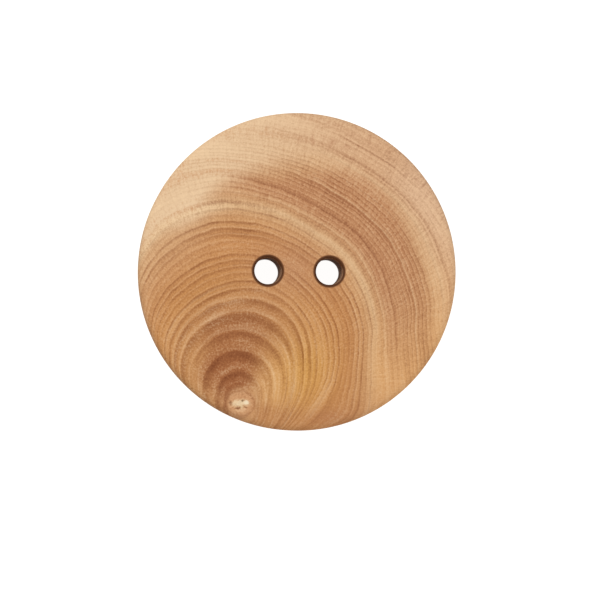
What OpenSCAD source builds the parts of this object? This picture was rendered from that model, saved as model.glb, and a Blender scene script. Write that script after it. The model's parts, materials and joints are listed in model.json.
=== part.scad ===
// Two-hole sew-on button, turned in one piece from a slice of a small stem.
// It lies on its flat back, with its domed front facing +Z.
// The origin is the middle of the back face, and the two sewing holes stand on the X axis.

/* [Disc] */
// Diameter across the widest part of the edge
button_d = 30; // [24:0.5:40]
// Thickness from the flat back to the top of the dome
button_t = 4.5; // [3.5:0.1:6]
// How far the dome falls from its middle to the edge
crown_h = 0.4; // [0.2:0.05:0.8]
// Radius of the turned rounding between the front and the edge
front_round = 0.8; // [0.4:0.1:1.2]
// Radius of the turned rounding between the back and the edge
back_round = 0.5; // [0.2:0.1:0.8]

/* [Sewing holes] */
// Diameter of each drilled sewing hole
hole_d = 2.5; // [1.6:0.1:3]
// Distance between the axes of the two holes
hole_pitch = 5.8; // [5:0.1:8]
// Radius of the rounded lip where a hole opens on the front
front_lip = 0.33; // [0.1:0.01:0.4]
// Radius of the rounded lip where a hole opens on the back
back_lip = 0.2; // [0.05:0.01:0.3]

/* [Hidden] */
$fn = 180;

// How far a cutter reaches past the surface that it cuts.
reach = 1;

button_r = button_d / 2;
hole_r = hole_d / 2;

// The front is part of a sphere that falls by crown_h over the button's radius.
dome_r = (button_r * button_r + crown_h * crown_h) / (2 * crown_h);
dome_z = button_t - dome_r;
dome_slope = asin(button_r / dome_r);

// Height of the domed front at a distance r from the button's axis.
function front_z(r) = dome_z + sqrt(dome_r * dome_r - r * r);

// The front rounding meets the dome at a faint ridge, this many degrees steeper than the dome.
ridge_angle = 5;
meet_angle = dome_slope + ridge_angle;
round_x = button_r - front_round;
round_z = front_z(round_x + front_round * sin(meet_angle)) - front_round * cos(meet_angle);

// The front lip's top stays this far below the dome, at the side of the hole nearest the edge.
lip_drop = 0.02;
lip_top_z = front_z(hole_pitch / 2 + hole_r + front_lip) - lip_drop;

// Half of the disc's cross-section, with a spherical top and square corners.
module square_profile() {
    intersection() {
        translate([0, dome_z]) circle(r = dome_r, $fn = 3600);
        square([button_r, button_t + reach]);
    }
}

// What a quarter round of radius r leaves over in the corner to its upper right.
module corner_waste(r) {
    difference() {
        square(r + reach);
        circle(r = r);
    }
}

// The turned disc, before it is drilled.
module disc() {
    rotate_extrude() difference() {
        square_profile();
        translate([round_x, round_z]) corner_waste(front_round);
        translate([button_r - back_round, back_round]) mirror([0, 1]) corner_waste(back_round);
    }
}

// One drill cut along Z, widened by a rounded lip at the front and at the back.
module sewing_hole() {
    rotate_extrude() {
        translate([0, -reach]) square([hole_r, button_t + 2 * reach]);
        intersection() {
            translate([hole_r + front_lip, lip_top_z - front_lip]) mirror([1, 0]) corner_waste(front_lip);
            square([hole_r + front_lip, button_t + reach]);
        }
        intersection() {
            translate([hole_r + back_lip, back_lip]) rotate(180) corner_waste(back_lip);
            translate([0, -reach]) square([hole_r + back_lip, button_t + reach]);
        }
    }
}

module button() {
    color("burlywood") difference() {
        disc();
        for (side = [-1, 1])
            translate([side * hole_pitch / 2, 0, 0]) sewing_hole();
    }
}

button();
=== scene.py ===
"""A two-hole sew-on button, turned from a slice of a small stem, lying on a white sheet.

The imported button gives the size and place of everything. Here it gets a finer mesh of the
same shape, with its pith and grain worked into the surface, and end-grain wood that runs
right through it, so that the edge, the back and the drilled holes cut the same rings.
Lengths are in millimetres, in the button's own frame, until MM turns them into metres.
"""

import json
import math

import bmesh
import bpy
import numpy as np
from mathutils import Matrix, Vector


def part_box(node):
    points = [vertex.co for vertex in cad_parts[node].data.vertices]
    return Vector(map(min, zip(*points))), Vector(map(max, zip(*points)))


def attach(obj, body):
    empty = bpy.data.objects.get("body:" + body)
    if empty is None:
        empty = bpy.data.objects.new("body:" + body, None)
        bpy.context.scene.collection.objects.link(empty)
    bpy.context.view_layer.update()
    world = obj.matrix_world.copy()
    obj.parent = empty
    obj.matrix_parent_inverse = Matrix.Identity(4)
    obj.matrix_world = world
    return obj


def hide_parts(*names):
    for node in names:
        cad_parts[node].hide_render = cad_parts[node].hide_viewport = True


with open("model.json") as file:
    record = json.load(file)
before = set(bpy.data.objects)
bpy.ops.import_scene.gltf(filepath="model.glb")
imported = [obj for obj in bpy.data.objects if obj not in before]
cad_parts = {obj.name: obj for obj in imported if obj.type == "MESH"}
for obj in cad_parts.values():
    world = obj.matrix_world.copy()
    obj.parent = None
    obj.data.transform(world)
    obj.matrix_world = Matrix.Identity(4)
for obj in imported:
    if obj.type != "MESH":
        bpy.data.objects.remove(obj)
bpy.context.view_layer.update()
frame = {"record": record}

MM = 0.001

# ---------------------------------------------------------------- sizes from the frame

lowest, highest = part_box("button")
BUTTON_R = (highest.x - lowest.x) / 2 / MM
BUTTON_T = (highest.z - lowest.z) / MM
BORES = [m for m in frame["record"]["mounts"] if m["kind"] == "bore"]
HOLE_R = BORES[0]["dims"]["r_mm"]
HOLE_X = abs(BORES[0]["pos_m"][0]) / MM

# The rest of the turned shape, as the design has it.
CROWN_H = 0.4
FRONT_ROUND = 0.8
BACK_ROUND = 0.5
RIDGE_ANGLE = math.radians(5)
FRONT_LIP = 0.33
BACK_LIP = 0.2

DOME_R = (BUTTON_R ** 2 + CROWN_H ** 2) / (2 * CROWN_H)
DOME_Z = BUTTON_T - DOME_R
MEET_ANGLE = math.asin(BUTTON_R / DOME_R) + RIDGE_ANGLE
ROUND_X = BUTTON_R - FRONT_ROUND
MEET_X = ROUND_X + FRONT_ROUND * math.sin(MEET_ANGLE)
ROUND_Z = DOME_Z + math.sqrt(DOME_R ** 2 - MEET_X ** 2) - FRONT_ROUND * math.cos(MEET_ANGLE)

# The mesh is made in two halves, one round each hole. This is the direction of a half's
# corner from its hole, where the line between the halves meets the front's ridge.
CORNER_ANGLE = math.atan2(MEET_X, HOLE_X)

# The point that the rings grew from, and the middle of the pale star in it.
RINGS_FROM = (-5.40, -12.59)
PITH = (-5.42, -12.54)

# The small hollows in the pith: x and y from its middle, radius, depth.
PITH_HOLLOWS = (
    (-0.80, 0.02, 0.16, 0.08),
    (-0.20, -0.42, 0.20, 0.10),
    (0.44, -0.26, 0.15, 0.06),
    (0.24, 0.26, 0.12, 0.07),
)
# They fade out over this distance from the ridge round the front.
HOLLOW_FADE = 0.25

# How finely the mesh is divided. Spokes run out from each hole: some on the side of the
# other hole, between the corners of the half, and the rest round its outer side.
FACING_SPOKES = 90
OUTER_SPOKES = 126
# Up to this angle on either side of the pith's middle, they are joined by so many more.
PITH_SECTOR = math.radians(9)
PITH_SPOKES = 61
# Rows of points lie across the spokes. On the front, they are closer together from this
# share of the way out, for the pith.
FINE_FRONT_FROM = 0.84
FRONT_ROWS = 65
FINE_FRONT_ROWS = 41
FRONT_ROUND_ROWS = 14
EDGE_ROWS = 12
BACK_ROUND_ROWS = 9
BACK_ROWS = 17
BACK_LIP_ROWS = 7
WALL_ROWS = 15
FRONT_LIP_ROWS = 10

# Two lengths or angles that differ by less than this are taken as the same.
TINY = 1e-7
# Points of neighbouring sheets that are nearer than this become one.
SAME_POINT = 0.0004


# ---------------------------------------------------------------- the button's mesh

def dome_height(x, y):
    """Height of the domed front above the point x, y."""
    return DOME_Z + np.sqrt(DOME_R ** 2 - x ** 2 - y ** 2)


def pith_hollow(x, y):
    """How far the small hollows in the pith sink the front at x, y."""
    sunk = np.zeros_like(x)
    for hollow_x, hollow_y, radius, depth in PITH_HOLLOWS:
        away = np.hypot(x - PITH[0] - hollow_x, y - PITH[1] - hollow_y) / radius
        sunk += depth * np.exp(-away ** 4)
    return sunk * np.clip((MEET_X - np.hypot(x, y)) / HOLLOW_FADE, 0, 1)


def spoke_angles(crowd_pith):
    """Directions of the spokes round a hole, with 0 towards the other hole.

    The spokes that end on the line between the two halves, and the two that end in its
    corners, are the same for both holes. The left hole has more of them towards the pith.
    """
    facing_part = np.linspace(-CORNER_ANGLE, CORNER_ANGLE, FACING_SPOKES + 1)
    outer_part = np.linspace(CORNER_ANGLE, 2 * math.pi - CORNER_ANGLE, OUTER_SPOKES + 1)
    angles = np.concatenate([facing_part[:-1], outer_part[:-1]])
    if crowd_pith:
        towards_pith = math.atan2(PITH[1], PITH[0] + HOLE_X) % (2 * math.pi)
        near = np.abs(outer_part - towards_pith) < PITH_SECTOR
        crowded = np.linspace(outer_part[near][0], outer_part[near][-1], PITH_SPOKES)
        angles = np.concatenate([angles, crowded])
        angles = np.unique(angles.round(9))
    return angles


def spoke_ends(angles):
    """How far each spoke runs from its hole's axis to the half's outline."""
    across, along = np.cos(angles), np.sin(angles)
    to_circle = HOLE_X * across + np.sqrt(MEET_X ** 2 - (HOLE_X * along) ** 2)
    to_line = np.where(across > TINY, HOLE_X / np.maximum(across, TINY), np.inf)
    return np.minimum(to_circle, to_line)


def quads(rows, columns, first, closed):
    """Faces of a grid of points, whose first point has the number first."""
    faces = []
    for row in range(rows - 1):
        for column in range(columns if closed else columns - 1):
            following = (column + 1) % columns
            here = first + row * columns
            above = here + columns
            faces.append((here + column, here + following, above + following, above + column))
    return faces


def front_sheet(angles, side):
    """The front of one half, as if it were the left one, in rows from the lip to the rim."""
    across, along = np.cos(angles), np.sin(angles)
    start = HOLE_R + FRONT_LIP
    steps = np.concatenate([np.linspace(0, FINE_FRONT_FROM, FRONT_ROWS + 1)[:-1],
                            np.linspace(FINE_FRONT_FROM, 1, FINE_FRONT_ROWS)])
    reach = start + steps[:, None] * (spoke_ends(angles) - start)
    x = reach * across - HOLE_X
    y = reach * along
    return np.stack([x, y, dome_height(x, y) - pith_hollow(side * x, y)], axis=-1)


def back_sheet(angles):
    """The back of the left half, in rows from the hole's lip to the rounding."""
    across, along = np.cos(angles), np.sin(angles)
    start = HOLE_R + BACK_LIP
    shrink = (BUTTON_R - BACK_ROUND) / MEET_X
    ends = spoke_ends(angles)
    steps = np.linspace(0, 1, BACK_ROWS)[:, None]
    end_x, end_y = (ends * across - HOLE_X) * shrink, ends * along * shrink
    start_x, start_y = start * across - HOLE_X, start * along
    x = start_x + steps * (end_x - start_x)
    y = start_y + steps * (end_y - start_y)
    return np.stack([x, y, np.zeros_like(x)], axis=-1)


def hole_sheet(angles):
    """The wall of the left hole, in rows from the back lip's edge up to the front lip's."""
    across, along = np.cos(angles), np.sin(angles)
    top = dome_height((HOLE_R + FRONT_LIP) * across - HOLE_X, (HOLE_R + FRONT_LIP) * along)
    rows = []
    for turn in np.linspace(0, math.pi / 2, BACK_LIP_ROWS):
        out = HOLE_R + BACK_LIP * (1 - math.sin(turn))
        rows.append((out, np.full_like(top, BACK_LIP * (1 - math.cos(turn)))))
    for share in np.linspace(0, 1, WALL_ROWS)[1:-1]:
        rows.append((HOLE_R, BACK_LIP + share * (top - FRONT_LIP - BACK_LIP)))
    for turn in np.linspace(0, math.pi / 2, FRONT_LIP_ROWS):
        out = HOLE_R + FRONT_LIP * (1 - math.cos(turn))
        rows.append((out, top - FRONT_LIP * (1 - math.sin(turn))))
    points = [np.stack([out * across - HOLE_X, out * along, z], axis=-1) for out, z in rows]
    return np.array(points)


def rim_sheet(angles):
    """The edge beside the left half, in rows from the front's ridge round to the back."""
    ends = spoke_ends(angles)
    x, y = ends * np.cos(angles) - HOLE_X, ends * np.sin(angles)
    on_rim = np.hypot(x, y) > MEET_X - TINY
    turn_x, turn_y = x[on_rim] / MEET_X, y[on_rim] / MEET_X
    rows = []
    for turn in np.linspace(MEET_ANGLE, math.pi / 2, FRONT_ROUND_ROWS):
        rows.append((ROUND_X + FRONT_ROUND * math.sin(turn), ROUND_Z + FRONT_ROUND * math.cos(turn)))
    for share in np.linspace(0, 1, EDGE_ROWS)[1:-1]:
        rows.append((BUTTON_R, ROUND_Z + share * (BACK_ROUND - ROUND_Z)))
    for turn in np.linspace(0, math.pi / 2, BACK_ROUND_ROWS):
        out = BUTTON_R - BACK_ROUND * (1 - math.cos(turn))
        rows.append((out, BACK_ROUND * (1 - math.sin(turn))))
    points = [np.stack([out * turn_x, out * turn_y, np.full_like(turn_x, z)], axis=-1)
              for out, z in rows]
    return np.array(points)


def in_order(angles):
    """The spokes in order round the hole, starting at the corner where the rim starts."""
    turned = (angles - CORNER_ANGLE + TINY) % (2 * math.pi)
    return angles[np.argsort(turned)]


def button_mesh():
    """The whole button as one closed mesh of quads, in metres."""
    vertices, faces = [], []
    count = 0
    for side, crowd_pith in ((1, True), (-1, False)):
        angles = in_order(spoke_angles(crowd_pith))
        sheets = ((front_sheet(angles, side), True), (back_sheet(angles), True),
                  (hole_sheet(angles), True), (rim_sheet(angles), False))
        for sheet, closed in sheets:
            rows, columns = sheet.shape[:2]
            points = sheet.reshape(-1, 3) * (side, 1, 1)
            vertices.append(points)
            faces += quads(rows, columns, count, closed)
            count += len(points)
    mesh = bpy.data.meshes.new("button_wood")
    mesh.from_pydata((np.concatenate(vertices) * MM).tolist(), [], faces)
    return mesh


def joined(mesh):
    """Joins the sheets along their shared edges, turns every face outwards and smooths."""
    work = bmesh.new()
    work.from_mesh(mesh)
    bmesh.ops.remove_doubles(work, verts=work.verts, dist=SAME_POINT * MM)
    bmesh.ops.recalc_face_normals(work, faces=work.faces)
    work.to_mesh(mesh)
    work.free()
    mesh.shade_smooth()
    return mesh


# ---------------------------------------------------------------- shader arithmetic

class Field:
    """A number that varies through the wood: one output of the shader tree in work."""

    tree = None

    def __init__(self, socket):
        self.socket = socket

    def __add__(self, other):
        return maths("ADD", self, other)

    def __sub__(self, other):
        return maths("SUBTRACT", self, other)

    def __rsub__(self, other):
        return maths("SUBTRACT", other, self)

    def __mul__(self, other):
        return maths("MULTIPLY", self, other)

    def __truediv__(self, other):
        return maths("DIVIDE", self, other)

    __radd__ = __add__
    __rmul__ = __mul__


def new_node(kind, **settings):
    """A node of the tree in work, with its properties set."""
    node = Field.tree.nodes.new(kind)
    for name, value in settings.items():
        setattr(node, name, value)
    return node


def feed(socket, value):
    """Links a field or an output to a socket, or sets the socket to a number or colour."""
    if isinstance(value, Field):
        value = value.socket
    if isinstance(value, bpy.types.NodeSocket):
        Field.tree.links.new(value, socket)
    else:
        socket.default_value = value


def maths(operation, *values, clamp=False):
    """The result of one step of arithmetic on fields or numbers."""
    node = new_node("ShaderNodeMath", operation=operation, use_clamp=clamp)
    for socket, value in zip(node.inputs, values):
        feed(socket, value)
    return Field(node.outputs[0])


def rise(value, start, end, top=1.0):
    """0 where value is before start, top where it is past end, and a smooth slope between."""
    node = new_node("ShaderNodeMapRange", interpolation_type="SMOOTHSTEP")
    for name, number in (("Value", value), ("From Min", start), ("From Max", end), ("To Max", top)):
        feed(node.inputs[name], number)
    return Field(node.outputs[0])


def point(x, y, z):
    """A place, put together from three fields or numbers."""
    node = new_node("ShaderNodeCombineXYZ")
    for socket, value in zip(node.inputs, (x, y, z)):
        feed(socket, value)
    return node.outputs[0]


def noise(where, scale, detail=2.0, roughness=0.5):
    """Noise about 0, mostly within -1 and 1."""
    node = new_node("ShaderNodeTexNoise", noise_dimensions="3D")
    feed(node.inputs["Vector"], where)
    feed(node.inputs["Scale"], scale)
    feed(node.inputs["Detail"], detail)
    feed(node.inputs["Roughness"], roughness)
    return (Field(node.outputs["Fac"]) - 0.5) * 4


def spot(x, y, centre, radius_x, radius_y=None, turn=0.0):
    """A soft round or long spot: 1 at its centre, fading to 0 well past its radius."""
    angle = math.radians(turn)
    from_x, from_y = x - centre[0], y - centre[1]
    along = from_x * math.cos(angle) + from_y * math.sin(angle)
    aside = from_y * math.cos(angle) - from_x * math.sin(angle)
    radius_y = radius_y or radius_x
    away = maths("POWER", along / radius_x, 2) + maths("POWER", aside / radius_y, 2)
    return maths("POWER", 0.5, away)


def srgb(red, green, blue):
    """A colour given from 0 to 255, as the shader takes it."""
    def linear(value):
        value = value / 255
        return value / 12.92 if value <= 0.04045 else ((value + 0.055) / 1.055) ** 2.4
    return (linear(red), linear(green), linear(blue), 1.0)


# A Mix node has sockets of the same names for numbers, so those for colours go by number.
MIX_FIRST = 6
MIX_SECOND = 7
MIX_RESULT = 2


def blended(first, second, share, how="MIX"):
    """first, with share of second laid over it."""
    node = new_node("ShaderNodeMix", data_type="RGBA", blend_type=how)
    feed(node.inputs["Factor"], share)
    feed(node.inputs[MIX_FIRST], first)
    feed(node.inputs[MIX_SECOND], second)
    return node.outputs[MIX_RESULT]


def palette(value, highest_value, stops):
    """A colour for each value, from stops of (value, colour)."""
    node = new_node("ShaderNodeValToRGB")
    ramp = node.color_ramp
    for number, (place, colour) in enumerate(stops):
        if number >= 2:
            ramp.elements.new(1.0)
        ramp.elements[number].position = place / highest_value
        ramp.elements[number].color = srgb(*colour)
    feed(node.inputs[0], value / highest_value)
    return node.outputs[0]


def curve(value, highest_value, highest_result, points):
    """A smooth curve through points of (value, result)."""
    node = new_node("ShaderNodeFloatCurve")
    line = node.mapping.curves[0]
    for number, (place, result) in enumerate(points):
        x, y = place / highest_value, result / highest_result
        if number < 2:
            line.points[number].location = (x, y)
        else:
            line.points.new(x, y)
    node.mapping.update()
    feed(node.inputs["Value"], value / highest_value)
    return Field(node.outputs[0]) * highest_result


# ---------------------------------------------------------------- wood

# Distances out through the rings are in millimetres, and directions round the pith are in
# degrees from +X, unless a comment says otherwise.

# How the rings' outline departs from a circle round the pith: the weights of cos, sin,
# cos of twice and sin of twice the direction, first near the pith, then for each 10 mm out.
NEAR_SHAPE = (-0.21, -0.19, -0.21, 0.06)
FAR_SHAPE = (0.43, 1.16, 0.33, -0.23)
# These turn the evened-out distance from the pith into millimetres up the button.
SCALE_NEAR = 0.994
SCALE_FAR = 0.0824

# Where the rings bulge out or are pressed in: distance and direction of the place from the
# pith, how far it reaches outwards and round, and by how much the rings move out there.
RING_SWELLS = (
    (12.5, 115, 4.4, 18, -1.00),
    (10.3, 66, 1.6, 16, 0.55),
    (10.0, 28, 2.5, 12, -0.40),
    (25.5, 37, 3.5, 9, -0.55),
    (19.5, 35, 1.6, 9, -0.25),
    (20.3, 58, 2.0, 7, 0.15),
)

# Directions round the pith run from half a turn before this one to half a turn past it. They
# jump from one to the other about where the pith is nearest to the edge.
MIDDLE_DIRECTION = math.radians(80)
# Keeps the distance from the pith above 0, where it is divided by.
LEAST_RADIUS = 0.001

# How far the stem moves along X and along Y with each millimetre down into the button.
STEM_LEAN = (0.10, 0.16)
# How quickly the wood's pattern changes along the stem, compared with across it.
ALONG_STEM = 0.08

# How many rings there are within a distance from the pith.
FARTHEST = 30
MOST_RINGS = 48
RING_COUNT = ((0, 0), (3.2, 2), (6.9, 4), (9.75, 6), (12.5, 9.5), (15.4, 14.5),
              (17.6, 18.5), (20.5, 25), (24, 34), (FARTHEST, MOST_RINGS))

# Colour of the wood by distance from the pith.
GROWTH_COLOURS = (
    (0.0, (214, 174, 134)),
    (1.4, (201, 149, 103)),
    (3.0, (208, 155, 103)),
    (5.0, (212, 158, 102)),
    (8.0, (208, 152, 96)),
    (12.0, (202, 143, 86)),
    (15.0, (200, 140, 86)),
    (16.5, (203, 147, 95)),
    (17.4, (207, 156, 107)),
    (18.0, (217, 174, 128)),
    (18.9, (205, 155, 109)),
    (23.0, (204, 153, 107)),
    (24.5, (211, 165, 121)),
    (26.5, (221, 180, 143)),
)

# Colours of single places in the wood.
OUTER_RIGHT_TAN = srgb(222, 168, 110)
TOP_TAN = srgb(206, 158, 116)
YEARS_RED = srgb(193, 137, 95)
LOWER_RIGHT_BROWN = srgb(189, 131, 84)
SAPWOOD_CREAM = srgb(228, 194, 155)
PATCH_CREAM = srgb(240, 212, 176)
HEART_BROWN = srgb(162, 98, 57)
PATCH_YELLOW = srgb(222, 166, 84)
ROSY_BROWN = srgb(191, 140, 106)
SMUDGE_RED = srgb(172, 112, 76)
PITH_OUTLINE = srgb(166, 108, 66)
# Painted light: the paler grey-brown laid on one side of the holes' walls, where light falls in.
WALL_PAINTED_LIGHT = srgb(176, 138, 108)

# What darkens and lightens the wood: late and early wood, and the shadows and light of its
# grain.
LATE_WOOD = srgb(164, 114, 78)
EARLY_WOOD = srgb(238, 202, 160)
PALE_YEAR = srgb(238, 204, 160)
GRAIN_SHADOW = srgb(156, 101, 64)
SAPWOOD_SHADOW = srgb(214, 158, 104)
GRAIN_LIGHT = srgb(255, 222, 178)

# Faint reddish smudges, which go straight through: x and y of the middle, radii, strength.
SMUDGES = (
    (3.1, -13.7, 1.6, 0.6, 0.35),
    (1.25, 12.4, 0.14, 0.45, 0.40),
    (3.1, 12.2, 0.50, 0.28, 0.40),
    (4.6, 11.8, 0.40, 0.22, 0.30),
)


class Grain:
    """The wood's own coordinates at a point: in millimetres, and along and across its rings."""

    def __init__(self):
        place = new_node("ShaderNodeTexCoord").outputs["Object"]
        parts = new_node("ShaderNodeSeparateXYZ")
        feed(parts.inputs[0], place)
        self.x, self.y, self.z = (Field(output) / MM for output in parts.outputs)
        # The stem leans a little in the disc, so the pith comes out elsewhere on the back.
        depth = BUTTON_T - self.z
        self.stem_x = self.x - depth * STEM_LEAN[0]
        self.stem_y = self.y - depth * STEM_LEAN[1]
        self.stem = point(self.stem_x, self.stem_y, self.z * ALONG_STEM)
        self.measure_direction()
        self.measure_rings()

    def measure_direction(self):
        """Distance from the pith's axis, and the direction in degrees from +X."""
        dx = self.stem_x - RINGS_FROM[0]
        dy = self.stem_y - RINGS_FROM[1]
        self.radius = maths("SQRT", dx * dx + dy * dy) + LEAST_RADIUS
        self.cos = dx / self.radius
        self.sin = dy / self.radius
        middle_cos, middle_sin = math.cos(MIDDLE_DIRECTION), math.sin(MIDDLE_DIRECTION)
        turned_x = self.cos * middle_cos + self.sin * middle_sin
        turned_y = self.sin * middle_cos - self.cos * middle_sin
        direction = maths("ARCTAN2", turned_y, turned_x) + MIDDLE_DIRECTION
        self.direction = direction * math.degrees(1)

    def measure_rings(self):
        """Distance out through the rings, the number of the ring, and the place within it."""
        cos_twice = self.cos * self.cos - self.sin * self.sin
        sin_twice = self.cos * self.sin * 2
        waves = (self.cos, self.sin, cos_twice, sin_twice)
        near = sum(wave * weight for wave, weight in zip(waves, NEAR_SHAPE))
        far = sum(wave * weight for wave, weight in zip(waves, FAR_SHAPE))
        evened = self.radius / (1 + near + far * self.radius / 10)
        distance = evened * SCALE_NEAR / (1 - evened * SCALE_FAR)
        # They are squeezed together at the upper left, and run out straight at the lower right.
        squeezed = rise(self.direction, 70, 94, 0.8) * rise(distance, 20.3, 23.6)
        straightened = (1 - rise(self.direction, -10, 27)) * 0.7
        moved = squeezed - maths("MAXIMUM", distance - 13, 0.0) * straightened
        for swell_out, facing, reach_out, reach_round, amount in RING_SWELLS:
            place = (swell_out, facing)
            moved = moved - spot(distance, self.direction, place, reach_out, reach_round) * amount
        sway = noise(self.stem, 0.16, detail=1.0) * 0.10
        shiver = noise(self.stem, 0.9, detail=2.0) * 0.06
        self.out = distance + moved + sway + shiver
        count = curve(self.out, FARTHEST, MOST_RINGS, RING_COUNT)
        self.ring = maths("FLOOR", count)
        self.phase = maths("FRACT", count)

    def between(self, start, start_full, end_full, end):
        """1 from start_full to end_full out through the rings, falling to 0 at start and end."""
        return rise(self.out, start, start_full) * (1 - rise(self.out, end_full, end))

    def facing(self, start, start_full, end_full, end):
        """The same for the directions round the pith, in degrees from +X."""
        return rise(self.direction, start, start_full) * (1 - rise(self.direction, end_full, end))


def heart_share(grain):
    """The dark heart on the upper left of the pith, which fades outwards."""
    fade = 1 - rise(grain.out, 4.9, 5.3, 0.12) - rise(grain.out, 6.8, 12.0, 0.88)
    to_the_right = rise(grain.direction, 38, 86)
    to_the_left = 1 - rise(grain.direction, 122, 175, 0.60)
    thin_left = 1 - rise(grain.out, 5.2, 6.5) * rise(grain.direction, 104, 138, 0.7)
    return fade * to_the_right * to_the_left * thin_left * rise(grain.out, 1.1, 1.9)


def sapwood_share(grain):
    """The cream sapwood, which starts further in the more it lies to the left."""
    rightwards = maths("MAXIMUM", 104 - grain.direction, 0.0)
    past_start = grain.out - 17.1 - rightwards * 0.17
    band = rise(past_start / (rightwards * 0.08 + 1.6), 0.0, 1.0) * rise(grain.direction, 58, 98)
    paling = rise(grain.direction, 92, 112) * rise(grain.out, 12, 17) * 0.24
    return maths("MAXIMUM", band, paling)


def red_band_share(grain):
    """The reddish years beyond the cream band, which die out to the left and the right."""
    narrowed = grain.out + rise(grain.direction, 60, 86, 4.2) - rise(grain.direction, 40, 60, 1.2)
    band = rise(grain.out, 18.7, 20.0) * (1 - rise(narrowed, 22.9, 25.0))
    return band * grain.facing(2, 48, 82, 108)


def rosy_share(grain):
    """A rosy, softly marked patch around the holes."""
    return spot(grain.x, grain.y, (-0.9, 0.2), 3.4, 2.4)


def growth_colour(grain):
    """The wood's colour before its rings are drawn."""
    colour = palette(grain.out, FARTHEST, GROWTH_COLOURS)
    outer_right = rise(grain.out, 16.6, 19.0) * (1 - rise(grain.direction, 8, 48))
    colour = blended(colour, OUTER_RIGHT_TAN, outer_right * 0.85)
    top = grain.facing(50, 62, 76, 90) * rise(grain.out, 24, 26)
    colour = blended(colour, TOP_TAN, top * 0.6)
    colour = blended(colour, YEARS_RED, red_band_share(grain) * 0.9)
    lower_right = (1 - rise(grain.direction, -16, 15)) * rise(grain.out, 1.5, 4)
    colour = blended(colour, LOWER_RIGHT_BROWN, lower_right * 0.8)
    colour = blended(colour, SAPWOOD_CREAM, sapwood_share(grain))
    cream_patch = spot(grain.x, grain.y, (-10.6, 5.1), 2.2, 0.8, turn=24)
    colour = blended(colour, PATCH_CREAM, cream_patch * 0.5)
    colour = blended(colour, HEART_BROWN, heart_share(grain) * 0.88)
    yellow_patch = spot(grain.x, grain.y, (0.5, -9.6), 2.2, 2.8, turn=-20)
    colour = blended(colour, PATCH_YELLOW, yellow_patch * 0.60)
    colour = blended(colour, ROSY_BROWN, rosy_share(grain) * 0.5)
    for middle_x, middle_y, radius_x, radius_y, share in SMUDGES:
        smudge = spot(grain.x, grain.y, (middle_x, middle_y), radius_x, radius_y)
        colour = blended(colour, SMUDGE_RED, smudge * share)
    return colour


# Years that stand out darker: where the dark starts, is deepest and ends on the way out,
# the directions between which it shows, and how strong it is.
DARK_YEARS = (
    (1.2, 1.7, 2.1, 84, 230, 0.34),
    (2.1, 2.7, 3.4, 66, 200, 0.24),
    (3.4, 4.8, 5.0, 66, 162, 0.32),
    (5.3, 6.6, 6.9, 44, 142, 0.22),
    (7.4, 8.1, 8.35, 46, 92, 0.10),
    (8.9, 9.5, 9.75, 22, 86, 0.24),
    (18.0, 18.35, 18.6, 84, 112, 0.38),
    (18.7, 18.85, 19.1, 14, 92, 0.26),
    (20.25, 20.5, 20.75, 14, 96, 0.32),
    (22.1, 22.25, 22.35, 24, 78, 0.25),
    (25.7, 25.86, 25.98, 24, 74, 0.32),
    (27.1, 27.25, 27.4, 52, 72, 0.35),
)

# Years that stand out paler, in the same way.
PALE_YEARS = (
    (5.0, 5.15, 5.5, 10, 66, 0.26),
    (9.75, 9.9, 10.2, 96, 150, 0.16),
    (10.95, 11.1, 11.4, 96, 150, 0.15),
    (17.3, 17.9, 18.5, 94, 132, 0.60),
    (18.0, 18.25, 18.7, 26, 90, 0.30),
    (19.1, 19.25, 19.5, 24, 84, 0.18),
    (22.35, 22.45, 22.65, 12, 74, 0.24),
    (24.9, 25.2, 25.6, 24, 78, 0.30),
)


# Such a year starts to show before its first direction and is in full past it, by these
# angles, and it ends in the same way.
FADE_OUTSIDE = 8
FADE_INSIDE = 10


def standing_out(grain, years):
    """How much the years of one of those tables stand out at a point."""
    total = 0.0
    for start, deepest, end, facing_from, facing_to, strength in years:
        shown = grain.facing(facing_from - FADE_OUTSIDE, facing_from + FADE_INSIDE,
                             facing_to - FADE_INSIDE, facing_to + FADE_OUTSIDE)
        total = grain.between(start, deepest, deepest, end) * shown * strength + total
    return total


def ring_lines(grain):
    """How dark the late wood is at a point, and how pale the early wood that follows it."""
    # Every ring has a strength of its own, which varies in patches as well.
    chance = new_node("ShaderNodeTexWhiteNoise", noise_dimensions="1D")
    feed(chance.inputs["W"], grain.ring + 0.5)
    strength = Field(chance.outputs["Value"]) * 0.75 + 0.28
    patchy = noise(grain.stem, 0.5, detail=2.0) * 0.5 + 1
    late_start = rise(grain.out, 8.0, 12.0, 0.32) + 0.10
    late = rise(grain.phase, late_start, 0.82) * (1 - rise(grain.phase, 0.84, 1.0))
    # The late wood is fainter near the pith and in the outermost rings.
    late = late * (1 - grain.between(-1.0, 0.0, 4.0, 8.0) * 0.5)
    late = late * (1 - rise(grain.out, 25.0, 26.4, 0.65))
    early = (1 - rise(grain.phase, 0.03, 0.30)) * rise(grain.out, 4.0, 7.0)
    return late * strength * patchy, early * strength * patchy
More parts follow.
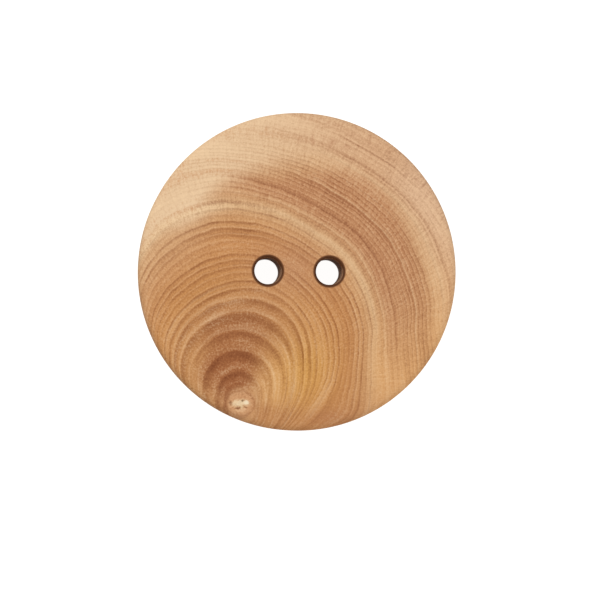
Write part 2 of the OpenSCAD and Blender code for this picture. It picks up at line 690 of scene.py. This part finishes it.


# Marks in the pith: x and y from its middle, radii, turn in degrees, colour and strength.
# The last four are painted shade in the pith's small hollows.
PITH_MARKS_AND_SHADE = (
    (0.02, 0.04, 1.32, 1.14, 0, (206, 152, 107), 1.0),
    (0.10, -0.60, 0.62, 0.22, 5, (222, 176, 132), 0.9),
    (0.0, 0.0, 0.86, 0.36, 2, (220, 178, 134), 1.2),
    (-0.05, 0.04, 0.60, 0.20, 5, (236, 208, 168), 1.2),
    (-0.46, 0.10, 0.32, 0.20, 35, (232, 200, 158), 0.9),
    (0.10, -0.24, 0.18, 0.28, 15, (228, 196, 152), 0.8),
    (0.58, 0.08, 0.26, 0.19, -25, (242, 222, 188), 0.9),
    # Painted shade: dark where the small hollows in the pith sink the front.
    (-0.92, 0.05, 0.22, 0.34, 0, (160, 106, 66), 0.7),
    (-0.24, -0.44, 0.36, 0.12, 12, (150, 98, 60), 0.8),
    (0.52, -0.32, 0.26, 0.10, -20, (160, 108, 68), 0.7),
    (0.24, 0.28, 0.20, 0.07, 20, (158, 132, 96), 0.7),
)


def with_pith(colour, grain, fibre):
    """Adds the pith: a pale torn star with painted shade in its hollows, in a tan disc with a thin
    outline.
    """
    x = grain.stem_x + fibre * 0.08
    y = grain.stem_y + noise(grain.stem, 3.0) * 0.10
    for mark_x, mark_y, radius_x, radius_y, turn, shade, strength in PITH_MARKS_AND_SHADE:
        place = (PITH[0] + mark_x, PITH[1] + mark_y)
        share = maths("MULTIPLY", spot(x, y, place, radius_x, radius_y, turn), strength, clamp=True)
        sharp = rise(share, 0.30, 0.75)
        colour = blended(colour, srgb(*shade), sharp)
    from_middle = spot(x, y, PITH, 1.25, 1.12)
    outline = rise(from_middle, 0.36, 0.44) * (1 - rise(from_middle, 0.46, 0.56))
    return blended(colour, PITH_OUTLINE, outline * 0.45)


def noise_along_rings(grain, per_mm, per_degree, detail=2.0, roughness=0.6):
    """Noise drawn out along the rings: how quickly it changes across them and round them."""
    where = point(grain.out * per_mm, grain.direction * per_degree, grain.z * 0.02)
    return noise(where, 1.0, detail, roughness)


def noise_along_rays(grain, crowding):
    """Noise drawn out along the rays, with its marks closer together in angle by crowding."""
    where = point(grain.cos * crowding, grain.sin * crowding, grain.out * 0.9)
    return noise(where, 1.0, detail=3.0, roughness=0.6)


def year_bands(grain):
    """Bands of lighter and darker years, a few rings wide, which shift slowly along them."""
    return noise_along_rings(grain, 0.8, 0.015)


def growth_streaks(grain):
    """Hair-thin uneven lines along the rings, finer than a year's growth."""
    return noise_along_rings(grain, 3.6, 0.05)


def false_rings(grain):
    """Extra narrow rings on the right of the pith, between the true ones."""
    here = grain.between(1.6, 3.0, 8.5, 12.0) * (1 - rise(grain.direction, 34, 78))
    return noise_along_rings(grain, 2.6, 0.012, detail=1.0, roughness=0.5) * here


def ray_marks(grain):
    """Fine marks along the rays, closer together in angle further from the pith."""
    share = rise(grain.radius, 5, 11)
    return noise_along_rays(grain, 36) * (1 - share) + noise_along_rays(grain, 120) * share


# Colours of a scorched hole, from the outer edge of its lip in to its wall, each with its
# share of the way from that edge to the hole's axis.
SCORCH_COLOURS = (
    (0.0, (132, 86, 52)),
    (0.08, (98, 58, 32)),
    (0.17, (72, 41, 20)),
    (0.205, (124, 74, 40)),
)
# Painted light: the wall is painted paler on its lower right side, where light from the upper
# left falls into the hole. This is the cos and the sin of that direction.
PAINTED_LIGHT_SIDE = (0.87, -0.5)


def scorched(grain):
    """The scorched lips and walls of the drilled holes: how much, and their colour with painted
    light.
    """
    beside = grain.x - maths("SIGN", grain.x) * HOLE_X
    from_axis = maths("SQRT", beside * beside + grain.y * grain.y)
    lip_edge = HOLE_R + FRONT_LIP
    share = 1 - rise(from_axis, lip_edge - 0.10, lip_edge + 0.02)
    colour = palette((lip_edge - from_axis) / lip_edge, 1.0, SCORCH_COLOURS)
    towards_painted_light = (beside * PAINTED_LIGHT_SIDE[0] + grain.y * PAINTED_LIGHT_SIDE[1]) / from_axis
    on_wall = 1 - rise(from_axis, HOLE_R + 0.02, HOLE_R + 0.12)
    # Painted light: the lower right side of the wall is painted paler, as if lit from the upper
    # left.
    paler = rise(towards_painted_light, 0.55, 1.0) * on_wall
    return share, blended(colour, WALL_PAINTED_LIGHT, paler * 0.6)


def lower_right_share(grain):
    """The lower right, where the years lie in broad bands and their lines are faint."""
    return (1 - rise(grain.direction, -6, 22)) * rise(grain.out, 9, 14)


def outer_right_share(grain):
    """The outer rings on the right, which are soft too."""
    return (1 - rise(grain.direction, 8, 40)) * rise(grain.out, 16.5, 19)


def with_ring_lines(colour, grain, late, early, outer):
    """Draws the dark late wood and the pale early wood, more faintly where the wood is soft."""
    inner_right = grain.between(3, 5, 9, 12) * (1 - rise(grain.direction, 30, 60))
    drawn = 1 - lower_right_share(grain) * 0.50
    drawn = drawn * (1 - sapwood_share(grain) * 0.60)
    drawn = drawn * (1 - outer_right_share(grain) * 0.40)
    drawn = drawn * (1 - rosy_share(grain) * 0.35)
    drawn = drawn * (1 - inner_right * 0.30)
    colour = blended(colour, LATE_WOOD, late * drawn * (0.46 - outer * 0.10), "MULTIPLY")
    return blended(colour, EARLY_WOOD, early * drawn * 0.19)


def darkness(grain, fibre, rays, outer):
    """How far a point is darker than its colour, and under 0 where it is lighter."""
    lower_right = lower_right_share(grain)
    lively = rise(grain.direction, 0, 40, 0.6) + 0.4
    band_strength = sapwood_share(grain) * 0.16 + outer_right_share(grain) * 0.14
    band_strength = band_strength + lower_right * 1.3 + 0.19
    ray_strength = lively * 0.12 + outer * 0.10
    fibre_strength = lively * 0.22 + heart_share(grain) * 0.10 + outer * 0.04 + 0.13
    mottle = noise(grain.stem, 0.4, detail=3.0) * 0.05
    dark = year_bands(grain) * band_strength + growth_streaks(grain) * 0.11 + mottle
    dark = dark * (1 - lower_right * 0.50) * lively
    dark = dark + rays * ray_strength + fibre * fibre_strength
    return dark + false_rings(grain) * 0.28 + standing_out(grain, DARK_YEARS)


def with_grain(colour, grain, dark):
    """Lays the paler years, the shadows and the light of the grain over the colour."""
    colour = blended(colour, PALE_YEAR, standing_out(grain, PALE_YEARS))
    shadow = blended(GRAIN_SHADOW, SAPWOOD_SHADOW, sapwood_share(grain))
    colour = blended(colour, shadow, maths("MAXIMUM", dark, 0.0), "MULTIPLY")
    return blended(colour, GRAIN_LIGHT, maths("MAXIMUM", dark * -0.7, 0.0))


def surface_bump(late, fibre, rays):
    """The slight relief that the tool leaves in harder and softer wood."""
    bump = new_node("ShaderNodeBump")
    feed(bump.inputs["Strength"], 0.4)
    feed(bump.inputs["Distance"], 0.03 * MM)
    feed(bump.inputs["Height"], late * 0.5 + fibre * 0.35 + rays * 0.2)
    return bump.outputs[0]


def wood_material():
    """End grain: rings round a pith near the edge, rays, fibres and scorched holes."""
    material = bpy.data.materials.new("end_grain_wood")
    material.use_nodes = True
    Field.tree = material.node_tree
    Field.tree.nodes.clear()
    grain = Grain()
    late, early = ring_lines(grain)
    rays = ray_marks(grain)
    fibre = noise(grain.stem, 5.5, detail=3.0, roughness=0.75)
    outer = rise(grain.out, 15, 19)

    colour = growth_colour(grain)
    colour = with_ring_lines(colour, grain, late, early, outer)
    colour = with_pith(colour, grain, fibre)
    colour = with_grain(colour, grain, darkness(grain, fibre, rays, outer))
    scorch, scorch_colour = scorched(grain)
    colour = blended(colour, scorch_colour, scorch)

    shader = new_node("ShaderNodeBsdfPrincipled")
    output = new_node("ShaderNodeOutputMaterial")
    feed(shader.inputs["Base Color"], colour)
    feed(shader.inputs["Roughness"], 0.6 + fibre * 0.05 - late * 0.06 + scorch * 0.1)
    feed(shader.inputs["Specular IOR Level"], 0.14)
    feed(shader.inputs["Normal"], surface_bump(late, fibre, rays))
    feed(output.inputs["Surface"], shader.outputs[0])
    return material


# ---------------------------------------------------------------- floor, light, camera

# The floor: half its length in metres, and how far it lies below the button's flat back.
FLOOR_HALF = 3.0
FLOOR_GAP = 0.02 * MM
# Its paper, the faint darker fibres in it, and the light that it gives off.
PAPER = (0.3, 0.3, 0.3, 1.0)
PAPER_DARK = (0.27, 0.27, 0.27, 1.0)
PAPER_LIGHT = (1.0, 0.99, 0.975, 1.0)

# What surrounds the button, from below the horizon up to the ceiling.
STUDIO_BELOW = (0.46, 0.41, 0.35, 1.0)
STUDIO_WALLS = (1.0, 0.99, 0.97, 1.0)
STUDIO_CEILING = (0.60, 0.60, 0.60, 1.0)


def floor_material():
    """A white sheet with so much light of its own that no shadow shows on it."""
    material = bpy.data.materials.new("white_sheet")
    material.use_nodes = True
    Field.tree = material.node_tree
    shader = Field.tree.nodes["Principled BSDF"]
    paper = noise(new_node("ShaderNodeTexCoord").outputs["Object"], 900.0, detail=3.0)
    feed(shader.inputs["Base Color"], blended(PAPER, PAPER_DARK, paper))
    feed(shader.inputs["Roughness"], 0.9)
    feed(shader.inputs["Specular IOR Level"], 0.0)
    feed(shader.inputs["Emission Color"], PAPER_LIGHT)
    feed(shader.inputs["Emission Strength"], 0.97)
    return material


def make_floor():
    """The sheet under the button, as the picture's whole ground."""
    signs = ((-1, -1), (1, -1), (1, 1), (-1, 1))
    corners = [(x * FLOOR_HALF, y * FLOOR_HALF, -FLOOR_GAP) for x, y in signs]
    mesh = bpy.data.meshes.new("floor")
    mesh.from_pydata(corners, [], [(0, 1, 2, 3)])
    floor = bpy.data.objects.new("floor", mesh)
    floor.data.materials.append(floor_material())
    bpy.context.scene.collection.objects.link(floor)
    # The sheet's own light stays off the wood, as when a card lies between them.
    floor.visible_diffuse = False
    floor.visible_glossy = False


def make_sky():
    """A pale studio all round: bright walls, a dimmer ceiling, and warm and dim below."""
    world = bpy.data.worlds.new("studio")
    world.use_nodes = True
    bpy.context.scene.world = world
    Field.tree = world.node_tree
    parts = new_node("ShaderNodeSeparateXYZ")
    feed(parts.inputs[0], new_node("ShaderNodeTexCoord").outputs["Generated"])
    up = Field(parts.outputs[2])
    background = Field.tree.nodes["Background"]
    walls = blended(STUDIO_BELOW, STUDIO_WALLS, rise(up, -0.05, 0.02))
    feed(background.inputs["Color"], blended(walls, STUDIO_CEILING, rise(up, 0.1, 0.5)))
    feed(background.inputs["Strength"], 1.0)


def make_light(name, place, size, power):
    """A round soft light that faces the button: its place and size in metres, and watts."""
    light = bpy.data.lights.new(name, "AREA")
    light.shape = "DISK"
    light.size = size
    light.energy = power
    holder = bpy.data.objects.new(name, light)
    holder.location = place
    holder.rotation_euler = (-Vector(place)).to_track_quat("-Z", "Y").to_euler()
    bpy.context.scene.collection.objects.link(holder)


# Where the camera stands: its distance from the button in metres, how far and which way it
# leans over, and how far it is rolled.
CAMERA_DISTANCE = 0.30
CAMERA_LEAN = math.radians(5.37)
CAMERA_LEAN_TOWARDS = math.radians(209)
CAMERA_ROLL = math.radians(0.46)
# The point of the button's front plane that is in the middle of the picture, and the width
# of what the picture shows there.
AIM = (-0.10 * MM, -2.49 * MM)
PICTURE_WIDTH = 55.92 * MM


def make_camera():
    """The camera, which looks down at the front from a little to the lower left."""
    centre = Vector((AIM[0], AIM[1], BUTTON_T * MM))
    lean = math.sin(CAMERA_LEAN)
    direction = Vector((lean * math.cos(CAMERA_LEAN_TOWARDS), lean * math.sin(CAMERA_LEAN_TOWARDS),
                        math.cos(CAMERA_LEAN)))
    place = Vector((0, 0, BUTTON_T * MM)) + direction * CAMERA_DISTANCE
    back = (place - centre).normalized()
    up = Vector((-math.sin(CAMERA_ROLL), math.cos(CAMERA_ROLL), 0))
    right = up.cross(back).normalized()
    up = back.cross(right)
    turn = Matrix((right, up, back)).transposed()
    data = bpy.data.cameras.new("camera")
    data.lens = data.sensor_width * CAMERA_DISTANCE / PICTURE_WIDTH
    data.clip_start = 0.005
    data.clip_end = 20
    camera = bpy.data.objects.new("camera", data)
    camera.matrix_world = Matrix.Translation(place) @ turn.to_4x4()
    bpy.context.scene.collection.objects.link(camera)
    bpy.context.scene.camera = camera


# ---------------------------------------------------------------- the scene

make_camera()

button = bpy.data.objects.new("button_wood", joined(button_mesh()))
button.data.materials.append(wood_material())
bpy.context.scene.collection.objects.link(button)
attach(button, "root")
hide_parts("button")

make_floor()
make_sky()
make_light("key", place=(-0.14, 0.16, 0.22), size=0.16, power=0.35)
make_light("fill", place=(0.18, -0.15, 0.16), size=0.20, power=0.16)

bpy.context.scene.view_settings.view_transform = "Standard"
